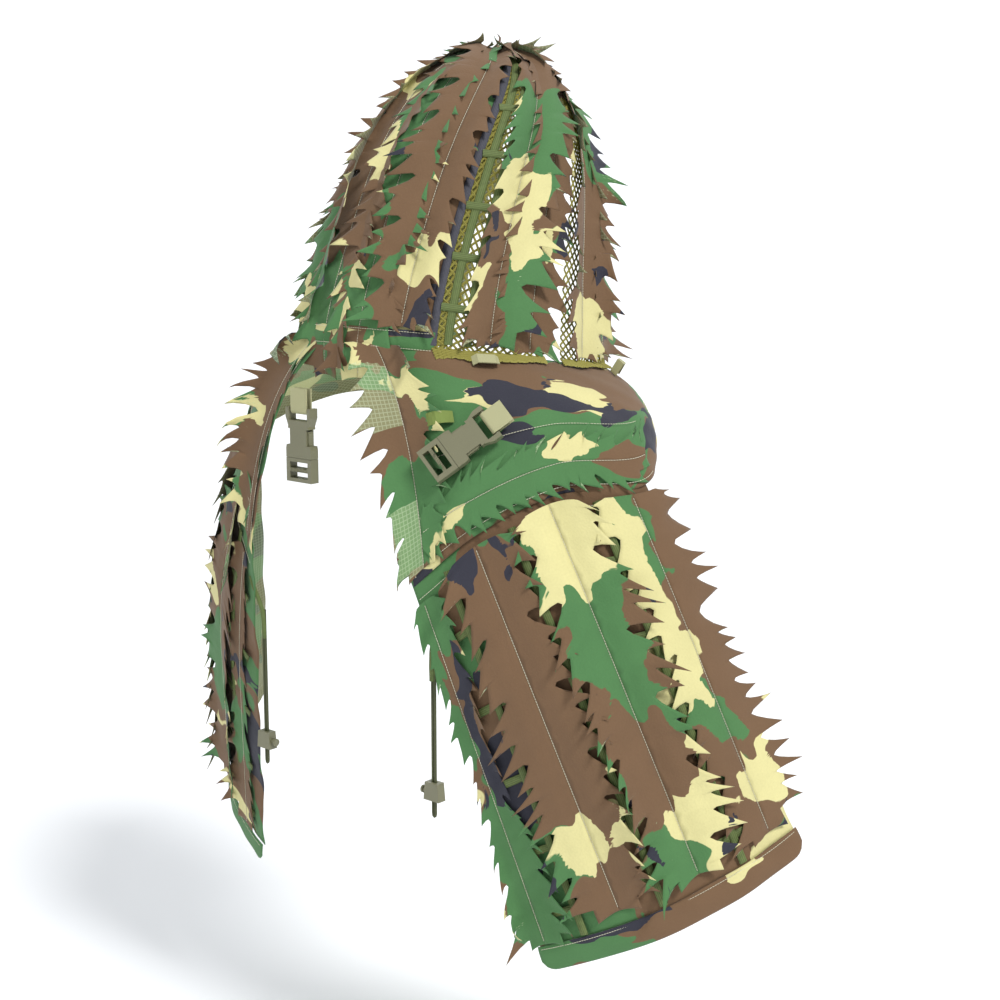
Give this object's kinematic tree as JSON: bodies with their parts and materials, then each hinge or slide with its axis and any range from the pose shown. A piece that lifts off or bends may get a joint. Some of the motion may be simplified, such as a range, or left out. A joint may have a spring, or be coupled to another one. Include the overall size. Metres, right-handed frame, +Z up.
{
  "type": "ghillie suit",
  "caption": "Leafy camouflage hood with open-backed shoulder covers, two half sleeves, mesh sides, release buckles and draw cords.",
  "frame": {"origin": "centre of the neck opening, at the level of the hood's neck band, where the wearer's neck carries it", "axes": "+Z up, -Y towards the wearer's front, -X towards the wearer's right"},
  "size_m": [0.9034, 0.4147, 0.9959],
  "materials": {
    "camo_cloth": "matt woven",
    "leaf_cloth": "matt woven, laser cut",
    "netting": "open knit",
    "elastic": "ribbed",
    "webbing": "woven",
    "seam_tape": "woven",
    "moulded_plastic": "satin",
    "cord": "braided"
  },
  "bodies": {
    "suit": {"hood_back_panel": "camo_cloth", "hood_mesh_right": "netting", "hood_mesh_left": "netting", "hood_face_panel_right": "camo_cloth", "hood_face_panel_left": "camo_cloth", "hood_crown": "elastic", "neck_band": "camo_cloth", "seam_tape_right": "seam_tape", "seam_tape_left": "seam_tape", "hood_ladder_right": "elastic", "hood_ladder_left": "elastic", "hood_strip_1_right": "leaf_cloth", "hood_strip_2_right": "leaf_cloth", "hood_strip_3_right": "leaf_cloth", "hood_strip_4_right": "leaf_cloth", "hood_strip_5_right": "leaf_cloth", "hood_strip_6_right": "leaf_cloth", "hood_strip_1_left": "leaf_cloth", "hood_strip_2_left": "leaf_cloth", "hood_strip_3_left": "leaf_cloth", "hood_strip_4_left": "leaf_cloth", "hood_strip_5_left": "leaf_cloth", "hood_strip_6_left": "leaf_cloth", "yoke_right": "camo_cloth", "yoke_left": "camo_cloth", "yoke_trim_right": "leaf_cloth", "yoke_trim_left": "leaf_cloth", "edge_strip_right": "leaf_cloth", "edge_strip_left": "leaf_cloth", "tab_right": "webbing", "tab_left": "webbing", "keeper_right": "elastic", "loop_back_right": "webbing", "loop_back_left": "webbing", "loop_front_right": "webbing", "loop_front_left": "webbing"},
    "sleeve_right": {"sleeve_right": "camo_cloth", "cuff_right": "camo_cloth", "sleeve_ladder_right": "elastic", "sleeve_strip_1_right": "leaf_cloth", "sleeve_strip_2_right": "leaf_cloth", "sleeve_strip_3_right": "leaf_cloth", "sleeve_strip_4_right": "leaf_cloth", "cord_right": "cord"},
    "buckle_right": {"buckle_socket_right": "moulded_plastic"},
    "plug_right": {"buckle_plug_right": "moulded_plastic"},
    "lock_right": {"cord_lock_right": "moulded_plastic"},
    "plunger_right": {"lock_plunger_right": "moulded_plastic"},
    "sleeve_left": {"sleeve_left": "camo_cloth", "cuff_left": "camo_cloth", "sleeve_ladder_left": "elastic", "sleeve_strip_1_left": "leaf_cloth", "sleeve_strip_2_left": "leaf_cloth", "sleeve_strip_3_left": "leaf_cloth", "sleeve_strip_4_left": "leaf_cloth", "cord_left": "cord"},
    "buckle_left": {"buckle_socket_left": "moulded_plastic"},
    "plug_left": {"buckle_plug_left": "moulded_plastic"},
    "lock_left": {"cord_lock_left": "moulded_plastic"},
    "plunger_left": {"lock_plunger_left": "moulded_plastic"}
  },
  "joints": [
    {"name": "shoulder_right", "type": "hinge", "parent": "suit", "child": "sleeve_right", "pos_m": [-0.127, 0.205, -0.2307], "axis": [0.6581, 0.6321, -0.409], "range_deg": [-8, 40]},
    {"name": "shoulder_left", "type": "hinge", "parent": "suit", "child": "sleeve_left", "pos_m": [0.127, 0.205, -0.2307], "axis": [0.6581, -0.6321, 0.409], "range_deg": [-8, 40]},
    {"name": "buckle_swing_right", "type": "hinge", "parent": "suit", "child": "buckle_right", "pos_m": [-0.187, 0.152, -0.057], "axis": [0.6724, 0.1014, 0.7332], "range_deg": [0, 85]},
    {"name": "buckle_swing_left", "type": "hinge", "parent": "suit", "child": "buckle_left", "pos_m": [0.037, 0.206, -0.058], "axis": [1, 0, 0], "range_deg": [-20, 80]},
    {"name": "plug_release_right", "type": "slide", "parent": "buckle_right", "child": "plug_right", "axis": [0.5517, 0.5917, -0.5878], "range_m": [0, 0.034]},
    {"name": "plug_release_left", "type": "slide", "parent": "buckle_left", "child": "plug_left", "axis": [0, 0, -1], "range_m": [0, 0.034]},
    {"name": "lock_slide_right", "type": "slide", "parent": "sleeve_right", "child": "lock_right", "axis": [0, 0, 1], "range_m": [0, 0.09]},
    {"name": "lock_press_right", "type": "slide", "parent": "lock_right", "child": "plunger_right", "axis": [-1, 0, 0], "range_m": [0, 0.0034], "stiffness_N_per_m": 500, "springref_m": -0.002},
    {"name": "lock_slide_left", "type": "slide", "parent": "sleeve_left", "child": "lock_left", "axis": [0, 0, 1], "range_m": [0, 0.09]},
    {"name": "lock_press_left", "type": "slide", "parent": "lock_left", "child": "plunger_left", "axis": [1, 0, 0], "range_m": [0, 0.0034], "stiffness_N_per_m": 500, "springref_m": -0.002}
  ]
}
